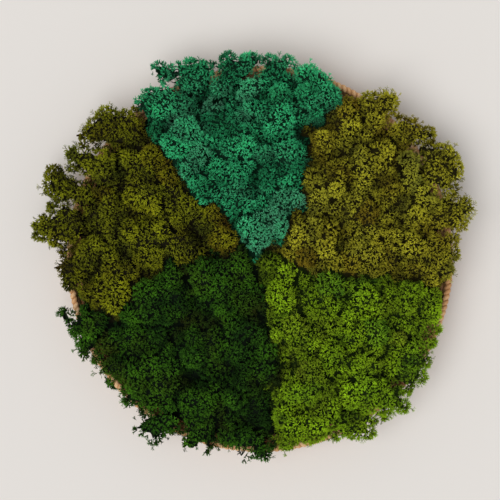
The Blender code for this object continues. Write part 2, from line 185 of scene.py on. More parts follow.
# %% The rounded heads
HEADS = {
    "teal": [
        (190, 65, 12), (206, 73, 12), (228, 56, 10, -1), (248, 59, 12), (270, 62, 12), (286, 61, 10),
        (308, 73, 13, 1), (324, 90, 15, 1), (334, 100, 9), (150, 96, 13), (168, 88, 11), (186, 88, 14),
        (160, 110, 15, 1), (182, 108, 12), (155, 127, 12, -1), (186, 125, 14, 1), (170, 140, 11, 1),
        (180, 150, 12, 1), (200, 155, 11, 0, -1), (202, 139, 9), (212, 104, 12, -1, -1), (214, 124, 12, -1),
        (228, 78, 13, -1), (231, 98, 11), (250, 88, 14, 1, -1), (264, 76, 11), (252, 108, 12),
        (235, 120, 11), (252, 126, 11), (280, 94, 14), (292, 78, 12), (284, 115, 14, 1), (308, 95, 14),
        (304, 112, 12), (303, 130, 10, -1), (272, 132, 12), (245, 148, 14, 1), (226, 148, 11),
        (288, 150, 15, 1), (305, 158, 10, -1), (214, 168, 11, 1), (190, 168, 12, 0, -1), (232, 166, 11),
        (250, 166, 12), (269, 161, 11, -1), (204, 194, 12), (196, 182, 10), (228, 184, 12), (226, 202, 12),
        (245, 186, 12, -1), (268, 184, 13), (288, 180, 11), (284, 199, 12, 0, -1), (297, 200, 9, 0, -1),
        (274, 214, 12, 0, -1), (280, 228, 9, 0, -1), (246, 207, 13), (262, 203, 10), (250, 224, 11, 1, -1),
        (259, 235, 11, 1, -1), (254, 245, 8, 1, -1), (236, 218, 9, -1),
    ],
    "olive": [
        (348, 101, 8, 0, 1), (346, 112, 11, 0, 1), (350, 125, 14, 1), (372, 101, 13), (390, 101, 12),
        (375, 119, 12), (394, 130, 13), (414, 126, 12), (430, 132, 11), (322, 139, 12), (344, 141, 14),
        (365, 136, 12), (385, 150, 15, 1), (380, 166, 12), (405, 146, 11, -1), (425, 149, 12),
        (409, 161, 13, 0, -1), (411, 178, 12, 0, -1), (447, 151, 11), (455, 165, 12), (443, 172, 12),
        (430, 168, 12), (361, 158, 12), (345, 164, 12, -1), (325, 163, 12), (340, 179, 11),
        (334, 191, 11, 1), (312, 180, 12), (361, 180, 16, 1), (388, 181, 13, -1), (384, 199, 12),
        (419, 194, 12), (431, 188, 11), (430, 206, 13), (449, 200, 12), (447, 186, 11), (466, 205, 11),
        (315, 209, 13), (318, 196, 10), (333, 210, 12), (348, 203, 12), (365, 214, 13, -1, 1),
        (389, 217, 13, 1), (402, 203, 10, -1), (414, 216, 14, 1), (439, 222, 13), (299, 235, 15, 1),
        (314, 226, 10), (330, 226, 12), (350, 229, 12), (374, 234, 13), (395, 234, 12), (324, 246, 13, 1),
        (355, 247, 12), (340, 242, 11), (379, 248, 12), (411, 243, 15, 1), (434, 240, 13), (451, 240, 12),
        (305, 257, 12, -1, 1), (324, 262, 10, -1), (350, 263, 13, 0, 1), (374, 266, 12),
        (391, 262, 12, -1), (336, 264, 10), (414, 265, 14), (438, 260, 13), (454, 254, 10),
        (429, 278, 12), (447, 271, 10), (404, 279, 9), (462, 222, 10), (290, 250, 9), (276, 244, 8),
        (296, 217, 8),
    ],
    "lime": [
        (268, 262, 13, -1), (288, 272, 11, 1), (281, 296, 17, 1), (304, 278, 10), (309, 293, 11),
        (330, 284, 17, 0, -1), (348, 284, 10), (365, 295, 15, 1), (380, 311, 12), (330, 307, 14),
        (350, 311, 12), (362, 314, 9), (409, 291, 12), (392, 293, 11), (404, 306, 12), (420, 290, 10),
        (432, 296, 13), (431, 312, 13, 1), (438, 330, 9), (295, 324, 16, 0, 1), (275, 314, 10),
        (313, 338, 14), (295, 342, 10), (310, 312, 11), (344, 323, 12), (327, 325, 10),
        (374, 326, 14, 0, -1),
        (376, 339, 11, 0, -1), (360, 330, 10), (414, 324, 14), (399, 322, 11), (401, 339, 9, 0, 1),
        (331, 350, 13), (350, 345, 12), (375, 352, 12), (363, 360, 12), (399, 351, 12), (419, 345, 12),
        (431, 342, 10), (346, 371, 12), (389, 366, 13), (410, 368, 12, -1), (427, 361, 9, -1),
        (423, 378, 9), (312, 371, 16, 0, 1), (306, 356, 10), (328, 368, 10), (295, 391, 15, 1),
        (310, 393, 13), (288, 374, 11), (351, 397, 14, 1), (365, 385, 14, 1), (384, 391, 12),
        (400, 391, 12, -1), (384, 407, 12), (404, 407, 10), (331, 406, 13, 1), (370, 406, 11),
        (284, 414, 14, 1), (304, 413, 10, -1), (294, 430, 14, 1), (319, 425, 15, 1), (311, 438, 10),
        (350, 420, 14, -1), (335, 424, 10), (355, 432, 12), (371, 436, 8), (370, 420, 11), (385, 417, 6),
        (287, 444, 10), (327, 388, 10, -1), (343, 382, 10), (338, 436, 9), (280, 395, 9), (284, 357, 9),
        (276, 334, 8),
    ],
    "forest": [
        (240, 262, 13, 1), (222, 268, 11), (204, 270, 14), (188, 268, 11), (175, 276, 14), (158, 284, 11),
        (248, 280, 14, 1), (226, 285, 14), (205, 290, 12), (188, 293, 12), (145, 292, 14, 1),
        (150, 310, 15), (128, 314, 12), (136, 330, 10), (170, 313, 14), (225, 305, 14), (246, 304, 13),
        (190, 312, 11), (207, 320, 10, -1), (178, 333, 11, -1), (120, 334, 10, -1, 1), (100, 321, 14),
        (90, 330, 13, 1), (84, 345, 12), (105, 345, 12, 0, 1), (110, 364, 12), (124, 352, 11),
        (140, 345, 14), (150, 362, 14, 1), (130, 370, 12), (155, 389, 15, 1), (136, 388, 12),
        (215, 350, 14), (240, 350, 14), (235, 326, 14), (214, 332, 11), (190, 358, 12), (197, 342, 11),
        (168, 350, 13), (172, 368, 12), (262, 320, 12, -1), (258, 336, 11), (268, 350, 12),
        (264, 369, 14), (246, 368, 12), (226, 370, 13), (208, 372, 12), (190, 376, 13), (174, 388, 12),
        (234, 398, 14), (216, 390, 12), (205, 404, 14), (188, 396, 12), (170, 406, 13), (150, 405, 13),
        (255, 388, 11, -1), (252, 404, 10, -1), (230, 419, 15), (212, 424, 12), (199, 428, 12),
        (184, 418, 12), (170, 424, 14), (152, 424, 10, -1), (246, 437, 14), (228, 438, 12),
        (256, 420, 12, -1), (212, 442, 11), (263, 438, 11), (264, 404, 9, -1), (190, 440, 10),
        (110, 384, 10), (128, 400, 11), (76, 330, 9), (258, 300, 11), (264, 452, 10),
        (98, 358, 11), (158, 331, 11), (84, 312, 8), (193, 327, 9),
    ],
    "khaki": [
        (105, 116, 14), (94, 126, 13), (110, 134, 14), (134, 121, 12), (121, 116, 10), (127, 134, 10),
        (140, 140, 12, -1), (83, 134, 8), (72, 152, 10, 0, -1), (99, 163, 16, 1), (85, 152, 10),
        (118, 150, 11), (130, 159, 14), (150, 155, 13, 0, 1), (160, 164, 10, 0, 1), (50, 173, 12, -1),
        (49, 186, 12), (62, 196, 11), (137, 179, 13), (150, 190, 13), (135, 199, 15, 1),
        (155, 206, 13, 1), (114, 182, 12, -1), (100, 190, 12, -1, 1), (168, 177, 13, 0, 1), (160, 188, 9),
        (180, 190, 11), (189, 205, 13), (172, 204, 11), (80, 199, 14), (88, 184, 10), (110, 206, 12),
        (60, 214, 14), (42, 224, 13), (35, 234, 9), (70, 234, 14), (54, 238, 11), (95, 224, 12),
        (120, 220, 10), (130, 231, 14), (148, 222, 11), (112, 240, 11), (164, 230, 13, 1),
        (185, 235, 13, 1), (170, 246, 12), (205, 225, 11, -1), (214, 212, 10, 0, 1), (225, 239, 16, 1, 1),
        (206, 244, 12), (150, 244, 11), (85, 250, 13), (110, 255, 12), (97, 246, 11), (62, 252, 10),
        (71, 264, 12, -1), (94, 267, 13, -1), (155, 258, 12), (136, 252, 11), (183, 256, 11),
        (200, 258, 9), (130, 270, 13), (112, 275, 13), (149, 272, 10), (75, 279, 11), (86, 290, 11),
        (100, 290, 14, 1), (123, 290, 13, 1), (96, 301, 11), (114, 303, 11, 1), (134, 284, 9),
        (68, 220, 10), (86, 212, 10), (126, 208, 10), (146, 172, 10), (178, 222, 10),
    ],
}

print(sum(map(len, HEADS.values())), "rounded heads")

# %% [markdown]
# Round the edge there are also loose heads, with so few twigs that the table shows through them.

# %% The loose heads
LOOSE_HEADS = {
    "teal": [(158, 66, 11), (177, 69, 8), (141, 99, 9), (198, 58, 8)],
    "olive": [(405, 116, 7), (436, 139, 9), (456, 146, 8), (463, 178, 8), (468, 200, 10), (461, 226, 9),
              (461, 257, 8), (422, 124, 6)],
    "lime": [(330, 436, 8), (371, 438, 7)],
    "forest": [(62, 316, 12), (69, 332, 9), (78, 356, 11), (97, 375, 9), (113, 392, 9), (125, 402, 9),
               (134, 431, 13), (151, 442, 10), (189, 448, 11), (208, 452, 10), (241, 459, 10),
               (262, 461, 11)],
    "khaki": [(76, 133, 7), (47, 240, 9), (62, 254, 9), (51, 268, 7), (30, 223, 6), (48, 172, 9)],
}

print(sum(map(len, LOOSE_HEADS.values())), "loose heads")

# %% [markdown]
# Each head belongs to the nearest clump of its colour. A clump's solid gives the head its height: the
# highest corner of the solid within the head's radius is where the head's top comes.

# %% Give each head its clump and its height
DARK_DROP = 0.003    # darker heads lie deeper
LEAST_RADIUS = 0.006
NEAR_CORNER = 0.002  # past the nearest corner, for a head that stands clear of its solid


def triples(items, key, kind=float):
    """Three numbers of each item of a mesh, as rows."""
    numbers = np.empty(len(items) * 3, kind)
    items.foreach_get(key, numbers)
    return numbers.reshape(-1, 3)


corners = {name: triples(nodes[name].data.vertices, "co") for name in nodes if "_moss_" in name}


def clump_at(colour, place):
    """The clump of that colour whose solid comes nearest to a place on the tray, seen from above."""
    names = [name for name in corners if name.startswith(colour)]
    return min(names, key=lambda name: np.linalg.norm(corners[name][:, :2] - place, axis=1).min())


def placed(colour, head, is_loose):
    """A head as a row: x, y, z, radius, tone, tint, loose. The first four are in metres."""
    x, y, pixels, tone, tint = (*head, 0, 0)[:5]
    place = np.array(on_tray(x, y))
    radius = max(pixels * PIXEL, LEAST_RADIUS)
    clump = clump_at(colour, place)
    distances = np.linalg.norm(corners[clump][:, :2] - place, axis=1)
    near = distances <= max(radius, distances.min() + NEAR_CORNER)
    top = corners[clump][near, 2].max() - (DARK_DROP if tone < 0 else 0)
    return clump, [*place, top - radius, radius, tone, tint, is_loose]


heads = {name: [] for name in corners}
for table, is_loose in ((HEADS, 0), (LOOSE_HEADS, 1)):
    for colour, rows in table.items():
        for head in rows:
            clump, row = placed(colour, head, is_loose)
            heads[clump].append(row)
heads = {name: np.array(rows).reshape(-1, 7) for name, rows in heads.items()}
firm = {name: rows[rows[:, 6] == 0] for name, rows in heads.items()}
loose = {name: rows[rows[:, 6] == 1] for name, rows in heads.items()}
print("heads in a clump, fewest and most:", min(map(len, heads.values())), max(map(len, heads.values())))

# %% [markdown]
# The heads are pressed together, and between three of them there is no hole to the bottom of the tray:
# lower moss fills it. Triangles drawn between neighbouring heads say where those places are.

# %% Fill the hollows between the heads
FILL_DEPTH = 0.58      # a hollow's fill lies this share of a head's radius under the heads' tops
FILL_SIZE = 0.80       # its radius as a share of theirs
# Painted shade: the moss in a hollow is painted darker than the heads round it.
FILL_SHADE = -0.6
LONGEST_SIDE = 0.040   # of a triangle, so that notches in the outline stay open


def hollows():
    """Rows like the heads' for the places between three neighbouring heads, and the clump of each."""
    owners = [name for name, rows in firm.items() for _ in rows]
    balls = np.vstack(list(firm.values()))
    middles = [Vector(row[:2]) for row in balls]
    triangles = delaunay_2d_cdt(middles, [], [], 0, 1e-6)[2]
    for triangle in triangles:
        three = balls[list(triangle)]
        sides = np.linalg.norm(three[:, :2] - np.roll(three[:, :2], 1, axis=0), axis=1)
        if sides.max() > LONGEST_SIDE:
            continue
        radius = three[:, 3].mean()
        top = (three[:, 2] + three[:, 3]).mean() - FILL_DEPTH * radius
        place = three[:, :2].mean(axis=0)
        size = radius * FILL_SIZE
        tint = np.sort(three[:, 5])[1]
        yield owners[triangle[0]], [*place, top - size, size, FILL_SHADE, tint, 0]


fills = {name: [] for name in heads}
for name, row in hollows():
    fills[name].append(row)
fills = {name: np.array(rows).reshape(-1, 7) for name, rows in fills.items()}
filled = {name: np.vstack([firm[name], fills[name]]) for name in heads}
print(sum(map(len, fills.values())), "hollows filled")

# %% [markdown]
# ## Twigs
#
# Under a lens a head is made of sprigs: twigs that fork twice within some 5 mm, with tips that spread
# into a small dome. Building thousands of different ones isn't needed. A dozen sprigs, each
# grown from its own seed, look different enough once every copy is turned and scaled. A twig is a
# three-sided tube, because at less than a millimetre across nobody can count its sides, and faces add up.
# Each corner also stores how near it is to a tip, so that the colour can lighten along the twig.

# %% Show a mesh
def shown(name, data, collection=None):
    """A new object, in the scene or in a collection that is kept out of it."""
    made = bpy.data.objects.new(name, data)
    (collection or bpy.context.scene.collection).objects.link(made)
    return made


# %% A mesh made of forking tubes
TWIG_SIDES = 3
ANY_WAY = np.array([0.3, 0.9, 0.2])  # no twig points quite this way


def sides_of(direction):
    """Two directions, square to this one and to each other."""
    side = np.cross(direction, ANY_WAY)
    side /= np.linalg.norm(side)
    return side, np.cross(direction, side)


class Twigs:
    """Collects tubes that fork, as points, faces and how near each point is to a tip."""

    def __init__(self):
        self.points = []
        self.faces = []
        self.tips = []

    def ring(self, middle, direction, radius, tip):
        """Adds a ring of points round a twig and returns their numbers."""
        side, across = sides_of(direction)
        first = len(self.points)
        for step in range(TWIG_SIDES):
            turn = math.tau * step / TWIG_SIDES
            self.points.append(middle + radius * (math.cos(turn) * side + math.sin(turn) * across))
            self.tips.append(tip)
        return list(range(first, first + TWIG_SIDES))

    def tube(self, lower, upper):
        for i in range(TWIG_SIDES):
            j = (i + 1) % TWIG_SIDES
            self.faces.append((lower[i], lower[j], upper[j], upper[i]))

    def cone(self, lower, end):
        """Closes a twig at a pointed tip."""
        self.points.append(end)
        self.tips.append(1.0)
        for i in range(TWIG_SIDES):
            self.faces.append((lower[i], lower[(i + 1) % TWIG_SIDES], len(self.points) - 1))

    def object(self, name, collection=None):
        mesh = bpy.data.meshes.new(name)
        mesh.from_pydata([tuple(point) for point in self.points], [], self.faces)
        tips = mesh.attributes.new("tip", "FLOAT", "POINT")
        tips.data.foreach_set("value", self.tips)
        return shown(name, mesh, collection)


# %% Grow a sprig
SPRIG_KINDS = 12
SPRAY_KINDS = 6

# Each level of forks is (length, twigs, lean in radians, radius). Lengths are in metres.
SPRIG_LEVELS = [
    (0.0027, 3.4, 0.68, 0.00054),
    (0.0022, 3.2, 0.85, 0.00051),
]
SPRAY_LENGTH = 0.012
SPRAY_LEVELS = [
    (0.0045, 1.6, 0.35, 0.00055),
    (0.0036, 2.2, 0.55, 0.00050),
    (0.0028, 2.1, 0.65, 0.00046),
    (0.0019, 2.0, 0.75, 0.00044),
]


def leaning(direction, lean, turn):
    """A direction at an angle to another, on the side that turn gives."""
    side, across = sides_of(direction)
    return math.cos(lean) * direction + math.sin(lean) * (math.cos(turn) * side + math.sin(turn) * across)


def fork(twigs, start, direction, levels, depth, rng):
    """Adds the twigs of one level at a fork, and the forks at their ends."""
    length, count, lean, radius = levels[depth]
    count = int(count + rng.random())
    spin = rng.uniform(0, math.tau)
    last = depth == len(levels) - 1
    for number in range(count):
        turn = spin + math.tau * number / count + rng.uniform(-0.6, 0.6)
        way = leaning(direction, lean * rng.uniform(0.5, 1.3), turn)
        end = start + way * length * rng.uniform(0.75, 1.3)
        lower = twigs.ring(start, way, radius, depth / len(levels))
        if last:
            twigs.cone(lower, end)
        else:
            twigs.tube(lower, twigs.ring(end, way, radius * 0.9, (depth + 1) / len(levels)))
            fork(twigs, end, way, levels, depth + 1, rng)


def grow(name, levels, seed, collection, crown_at_origin):
    """One sprig. Its crown is at the origin with its root below, or its root is there."""
    rng = np.random.default_rng(seed)
    twigs = Twigs()
    fork(twigs, np.zeros(3), np.array([0, 0, 1.0]), levels, 0, rng)
    if crown_at_origin:
        top = np.percentile([point[2] for point in twigs.points], 92)
        twigs.points = [point - [0, 0, top] for point in twigs.points]
    return twigs.object(name, collection)


sprigs = bpy.data.collections.new("sprigs")
for kind in range(SPRIG_KINDS):
    grow(f"a_sprig_{kind:02d}", SPRIG_LEVELS, 100 + kind, sprigs, True)
for kind in range(SPRAY_KINDS):
    grow(f"b_spray_{kind:02d}", SPRAY_LEVELS, 200 + kind, sprigs, False)

# %% [markdown]
# ## The skin of the heap
#
# The sprigs stand on a skin: a ball for each head and the clump's own solid, melted into one closed surface
# by the Remesh modifier. The skin itself is never shown. It carries, at each point, how much of the sky the
# point sees. Where it sees none, it is buried between other clumps, and planting there would waste faces.
# Where it sees little, it is a crease, and the moss there is painted darker: painted shade, for the light
# that a crease loses.

# %% Helpers for meshes and numbers
def ball_points(rows, detail, scale, change):
    """Icospheres, one for each row, of its radius times scale plus change: points, faces and owners."""
    pattern = bmesh.new()
    bmesh.ops.create_icosphere(pattern, subdivisions=detail, radius=1)
    unit = np.array([corner.co for corner in pattern.verts])
    triangles = np.array([[corner.index for corner in face.verts] for face in pattern.faces])
    pattern.free()
    points = [row[:3] + unit * (row[3] * scale + change) for row in rows]
    faces = [triangles + number * len(unit) for number in range(len(rows))]
    return np.vstack(points), np.vstack(faces), np.repeat(np.arange(len(rows)), len(unit))


def sunk_solid(name, depth):
    """The clump's solid with its loose triangles joined, and its corners moved in by depth."""
    work = bmesh.new()
    work.from_mesh(nodes[name].data)
    bmesh.ops.remove_doubles(work, verts=work.verts, dist=1e-5)
    work.normal_update()
    points = np.array([corner.co - corner.normal * depth for corner in work.verts])
    work.verts.index_update()
    faces = np.array([[corner.index for corner in face.verts] for face in work.faces])
    work.free()
    return points, faces


def mesh_from(name, points, faces, **values):
    """A mesh with a number stored at each point for each of the named values."""
    mesh = bpy.data.meshes.new(name)
    mesh.from_pydata(points.tolist(), [], faces.tolist())
    for key, numbers in values.items():
        mesh.attributes.new(key, "FLOAT", "POINT").data.foreach_set("value", np.asarray(numbers, float))
    return mesh


def numbers_of(mesh):
    """Points, normals and triangles of a mesh."""
    mesh.calc_loop_triangles()
    triangles = triples(mesh.loop_triangles, "vertices", int)
    return triples(mesh.vertices, "co"), triples(mesh.vertices, "normal"), triangles


def melted(name, points, faces, voxel):
    """One closed surface round overlapping ones."""
    rough = shown("rough", mesh_from("rough", points, faces))
    remesh = rough.modifiers.new("melt", "REMESH")
    remesh.mode = "VOXEL"
    remesh.voxel_size = voxel
    mesh = bpy.data.meshes.new_from_object(rough.evaluated_get(bpy.context.evaluated_depsgraph_get()))
    bpy.data.objects.remove(rough)
    mesh.name = name
    return mesh


# %% Melt each clump's skin
SKIN_VOXEL = 0.0022
SKIN_DETAIL = 3
SOLID_DEPTH = 0.0012   # the skin lies this far inside the clump's own solid
HEAD_INSET = 0.0006    # and this far inside the heads

skins = {}
for name, rows in filled.items():
    points, faces = sunk_solid(name, SOLID_DEPTH)
    if len(rows):
        more, more_faces, _ = ball_points(rows, SKIN_DETAIL, 1, -HEAD_INSET)
        faces = np.vstack([faces, more_faces + len(points)])
        points = np.vstack([points, more])
    skins[name] = numbers_of(melted(f"{name}_skin", points, faces, SKIN_VOXEL))
print(sum(len(points) for points, _, _ in skins.values()), "points on the skins")

# %% See how much sky each point has
LOOKS = 14             # directions that each point looks in
LOOK_LENGTH = 0.090
LOOK_START = 0.0016    # above the skin, clear of it
LOWEST_LOOK = -0.35    # points on the sides also look a little down
LEAST_FACING = 0.05    # cosine of a look's angle from the normal


def look_directions():
    """Directions spread evenly over the sphere, without those that look at the floor."""
    steps = np.arange(LOOKS * 2) + 0.5
    height = 1 - 2 * steps / len(steps)
    turn = steps * math.pi * (1 + math.sqrt(5))
    flat = np.sqrt(1 - height**2)
    around = np.column_stack([np.cos(turn) * flat, np.sin(turn) * flat, height])
    return around[height > LOWEST_LOOK]


def everything_tree():
    """All skins and the tray's rim, to look past."""
    points, faces, count = [], [], 0
    solids = [sunk_solid(name, 0) for name in ("tray_wall", "tray_border")]
    for some_points, some_faces in [(p, f) for p, _, f in skins.values()] + solids:
        points.append(some_points)
        faces.append(some_faces + count)
        count += len(some_points)
    return BVHTree.FromPolygons(np.vstack(points).tolist(), np.vstack(faces).tolist(), all_triangles=True)


def sky_of(points, normals, tree, directions):
    """For each point, the share of the directions above its surface in which it sees out of the heap."""
    facing = normals @ directions.T
    starts = points + normals * LOOK_START
    ways = [Vector(way) for way in directions]
    sky = np.zeros(len(points))
    for number, start in enumerate(starts):
        start = Vector(start)
        seen = total = 0.0
        for way, face in zip(ways, facing[number]):
            if face > LEAST_FACING:
                total += face
                if tree.ray_cast(start, way, LOOK_LENGTH)[0] is None:
                    seen += face
        sky[number] = seen / total if total else 0
    return sky


tree = everything_tree()
directions = look_directions()
sky = {name: sky_of(points, normals, tree, directions) for name, (points, normals, _) in skins.items()}
every_sky = np.concatenate(list(sky.values()))
print(f"{np.mean(every_sky > 0):.0%} of the skins' points see out")

# %% Make a guide for each clump
LEAST_SKY = 0.10        # a sprig needs this much sky
HEAD_EDGE = 0.001       # past a head's surface its tone and tint fade
HEAD_FADE = 0.004
# Painted shade: skin that no head is near is sunk among the heads, and is painted darker.
BARE_SHADE = -0.5        # where no head is near
RIM_FROM = 0.168        # past this radius some sprigs are strays that stand out of the outline
STRAY_SHARE = 0.16
LACE = 0.4              # of a skin's sprigs that stay in a loose head
LACE_MARGIN = 0.002
LOOSE_INSIDE = 0.32     # sprays start this far out in a loose head
LOOSE_DENSITY = 0.22    # of the most points on a square metre
# Painted light: a loose head is painted lighter than the heap, as light falls through it from all sides.
LOOSE_SKY = 1.3         # light falls through a loose head from all sides
GUIDE_DETAIL = 2


def nearest_heads(points, rows):
    """For each point the head whose surface is nearest, and how far away it is."""
    away = np.linalg.norm(points[:, None, :] - rows[None, :, :3], axis=2) - rows[None, :, 3]
    near = away.argmin(axis=1)
    return near, away[np.arange(len(points)), near]


def in_loose(name, points):
    """True for the points that lie in a loose head and clear of every firm one."""
    to_loose = nearest_heads(points, loose[name])[1]
    to_firm = nearest_heads(points, filled[name])[1]
    return (to_loose < LACE_MARGIN) & (to_firm > LACE_MARGIN)


def radii(rows):
    """How far from the tray's middle each row or point is, seen from above."""
    return np.linalg.norm(rows[:, :2], axis=1)


def guide_for(name):
    """The skin and the loose heads' insides, with the numbers that the scattering reads."""
    points, _, faces = skins[name]
    rows = filled[name]
    near, away = nearest_heads(points, rows)
    own = np.clip(1 - (away - HEAD_EDGE) / HEAD_FADE, 0, 1)
    outermost = (radii(points) > RIM_FROM) & (points[:, 2] > TRAY_HEIGHT)
    values = {
        "dense": (sky[name] > LEAST_SKY) * 1.0,
        # The sky seen paints shade: the material darkens the moss where little sky is seen.
        "sky": sky[name],
        "tone": rows[near, 4] * own + BARE_SHADE * (1 - own),
        "tint": rows[near, 5] * own,
        "reach": np.zeros(len(points)),
        "rim": STRAY_SHARE * outermost,
    }
    if len(loose[name]):
        values["dense"] *= np.where(in_loose(name, points), LACE, 1)
        more, more_faces, owners = ball_points(loose[name], GUIDE_DETAIL, LOOSE_INSIDE, 0)
        faces = np.vstack([faces, more_faces + len(points)])
        points = np.vstack([points, more])
        rows = loose[name][owners]
        extra = {
            "dense": np.full(len(more), LOOSE_DENSITY),
            "sky": np.full(len(more), LOOSE_SKY),
            "tone": rows[:, 4],
            "tint": rows[:, 5],
            "reach": rows[:, 3] * (1 - LOOSE_INSIDE) / SPRAY_LENGTH,
            "rim": np.zeros(len(more)),
        }
        values = {key: np.concatenate([numbers, extra[key]]) for key, numbers in values.items()}
    return shown(f"{name}_guide", mesh_from(f"{name}_guide", points, faces, **values))


# %% Stems for the loose heads
STEMS = 3               # to each loose head
STEM_STEPS = 5
STEM_RADIUS = 0.0006
STEM_BEND = 0.0016      # how far a stem bends aside, in metres
STEM_TIP = 0.4          # its colour, as a twig's nearness to its tip


def stems_for(name):
    """Bent stems to each loose head from the inside of the nearest firm one."""
    rng = np.random.default_rng(len(name) + int(name[-2:]))
    stems = Twigs()
    for end in loose[name][:, :3]:
        rows = filled[name]
        start = rows[np.linalg.norm(rows[:, :3] - end, axis=1).argmin(), :3]
        way = (end - start) / np.linalg.norm(end - start)
        for _ in range(STEMS):
            bend = rng.normal(0, STEM_BEND, 3)
            lower = None
            for share in np.linspace(0, 1, STEM_STEPS):
                place = start + (end - start) * share + bend * math.sin(math.pi * share)
                ring = stems.ring(place, way, STEM_RADIUS, STEM_TIP)
                if lower:
                    stems.tube(lower, ring)
                lower = ring
    return stems.object(f"{name}_stems")


# %% A dark inside for each clump, painted shade
CORE_HEAD_DEPTH = 0.0058
CORE_SOLID_DEPTH = 0.0052
CORE_VOXEL = 0.0036
# The beds are dark balls of painted shade, in the hollows and against the tray's wall.
BED_RADIUS = 0.014      # of the dark balls under the fills
BED_DEPTH = 0.007
BED_REACH = 0.146       # none further out than this, where they would stand out of the heap's side
RIM_BED_FROM = 0.138    # heads past this radius have a ball in the tray, against its wall
RIM_BED_AT = 0.151
RIM_BED_DEPTH = 0.004   # under the tray's top


def beds(name):
    """Dark balls of painted shade under the clump's fills, and inside the tray's wall under the heads that
    stand near it.
    """
    low = fills[name][radii(fills[name]) < BED_REACH]
    low[:, 2] += low[:, 3] - BED_DEPTH - BED_RADIUS
    rim = heads[name][radii(heads[name]) > RIM_BED_FROM].copy()
    rim[:, :2] *= RIM_BED_AT / radii(rim)[:, None]
    rim[:, 2] = TRAY_HEIGHT - RIM_BED_DEPTH - BED_RADIUS
    rows = np.vstack([low, rim])
    rows[:, 3] = BED_RADIUS
    return rows


def opened(name, mesh):
    """Takes the dark inside out of the loose heads."""
    places = triples(mesh.vertices, "co")
    inside = in_loose(name, places) & (places[:, 2] > TRAY_HEIGHT)
    work = bmesh.new()
    work.from_mesh(mesh)
    work.verts.ensure_lookup_table()
    gone = [work.verts[index] for index in np.flatnonzero(inside)]
    bmesh.ops.delete(work, geom=gone, context="VERTS")
    work.to_mesh(mesh)
    work.free()


def core_for(name):
    """The dark inside that stops light from passing between the sprigs. It is painted near black, as the
    shade deep in a clump.
    """
    points, faces = sunk_solid(name, CORE_SOLID_DEPTH)
    rows = firm[name].copy()
    rows[:, 3] -= CORE_HEAD_DEPTH
    more, more_faces, _ = ball_points(np.vstack([rows, beds(name)]), GUIDE_DETAIL, 1, 0)
    faces = np.vstack([faces, more_faces + len(points)])
    mesh = melted(f"{name}_core", np.vstack([points, more]), faces, CORE_VOXEL)
    if len(loose[name]):
        opened(name, mesh)
    return shown(f"{name}_core", mesh)


# %% [markdown]
# ## Scattering the sprigs
#
# One tree of Geometry Nodes plants every clump. It scatters points over the guide at an even spacing,
# lifts and sinks them in lobes of about 9 mm, which is what makes a head look like a cauliflower, and
# tilts each sprig out from the middle of its lobe. Then it stands a sprig on each point, at a size and a
# turn of its own, and adds the dark inside. Near the edge a few points get a small open spray instead,
# which breaks up the outline.

# %% A geometry tree with named inputs
def new_tree(name, inputs):
    """Returns its nodes, a wire for each input, and its output. The inputs are names and socket types."""
    tree = bpy.data.node_groups.new(name, "GeometryNodeTree")
    inputs = {"Geometry": "Geometry"} | inputs | {"Material": "Material"}
    for label, kind in inputs.items():
        tree.interface.new_socket(label, in_out="INPUT", socket_type="NodeSocket" + kind)
    tree.interface.new_socket("Geometry", in_out="OUTPUT", socket_type="NodeSocketGeometry")
    made = Nodes(tree)
    entry = tree.nodes.new("NodeGroupInput")
    wires = {label: Wire(made, entry.outputs[label]) for label in inputs}
    return made, wires, tree.nodes.new("NodeGroupOutput")


def dressed(add, geometry, given, end):
    """Ends a tree: sets the material and links the output."""
    values = {"Geometry": geometry, "Material": given["Material"]}
    painted = add("GeometryNodeSetMaterial", None, values)
    add.tree.links.new(painted.socket, end.inputs["Geometry"])
    return add.tree


def apply_tree(obj, tree, values):
    """Puts the tree on an object, sets its inputs by name, and returns the plain mesh that comes out."""
    modifier = obj.modifiers.new(tree.name, "NODES")
    modifier.node_group = tree
    for item in tree.interface.items_tree:
        if item.item_type == "SOCKET" and item.in_out == "INPUT" and item.name in values:
            modifier[item.identifier] = values[item.name]
    mesh = bpy.data.meshes.new_from_object(obj.evaluated_get(bpy.context.evaluated_depsgraph_get()))
    obj.modifiers.remove(modifier)
    return mesh


def made_by(tree, values):
    """The plain mesh from a tree that makes everything itself."""
    holder = shown("holder", bpy.data.meshes.new("holder"))
    mesh = apply_tree(holder, tree, values)
    bpy.data.objects.remove(holder)
    return mesh


# %% The tree that plants the sprigs
MOSS_INPUTS = {
    "Core": "Object", "Stems": "Object", "Sprigs": "Collection", "Spacing": "Float",
    "Lobe size": "Float", "Lobe height": "Float", "Lobe lean": "Float", "Tilt": "Float",
    "Stray size": "Float", "Seed": "Int",
}
THICKEST = 400000.0        # points on a square metre, before the spacing thins them
LOBE_MIDDLE = 0.45         # of a lobe's size: nearer to its middle the moss is lifted, further out it sinks
SPRIG_SIZES = (0.82, 1.18)


def vector(add, operation, *values, **settings):
    return add("ShaderNodeVectorMath", {"operation": operation}, dict(enumerate(values)) | settings)


def numbered(add, name):
    return add("GeometryNodeInputNamedAttribute", {"data_type": "FLOAT"}, {"Name": name})


def chance(add, kind, low, high, seed):
    return add("FunctionNodeRandomValue", {"data_type": kind}, {"Min": low, "Max": high, "Seed": seed})


def stored(add, geometry, name, value):
    settings = {"data_type": "FLOAT", "domain": "POINT"}
    values = {"Geometry": geometry, "Name": name, "Value": value}
    return add("GeometryNodeStoreNamedAttribute", settings, values)


def realized(add, points, instance, **values):
    """Copies of an instance on points, as real geometry."""
    values = {key.replace("_", " "): value for key, value in values.items()}
    values |= {"Points": points, "Instance": instance}
    copies = add("GeometryNodeInstanceOnPoints", None, values)
    return add("GeometryNodeRealizeInstances", None, {"Geometry": copies})


def object_shape(add, wire):
    return add("GeometryNodeObjectInfo", None, {"Object": wire}).output("Geometry")


def switched(add, kind, switch, no, yes):
    values = {"Switch": switch, "False": no, "True": yes}
    return add("GeometryNodeSwitch", {"input_type": kind}, values)


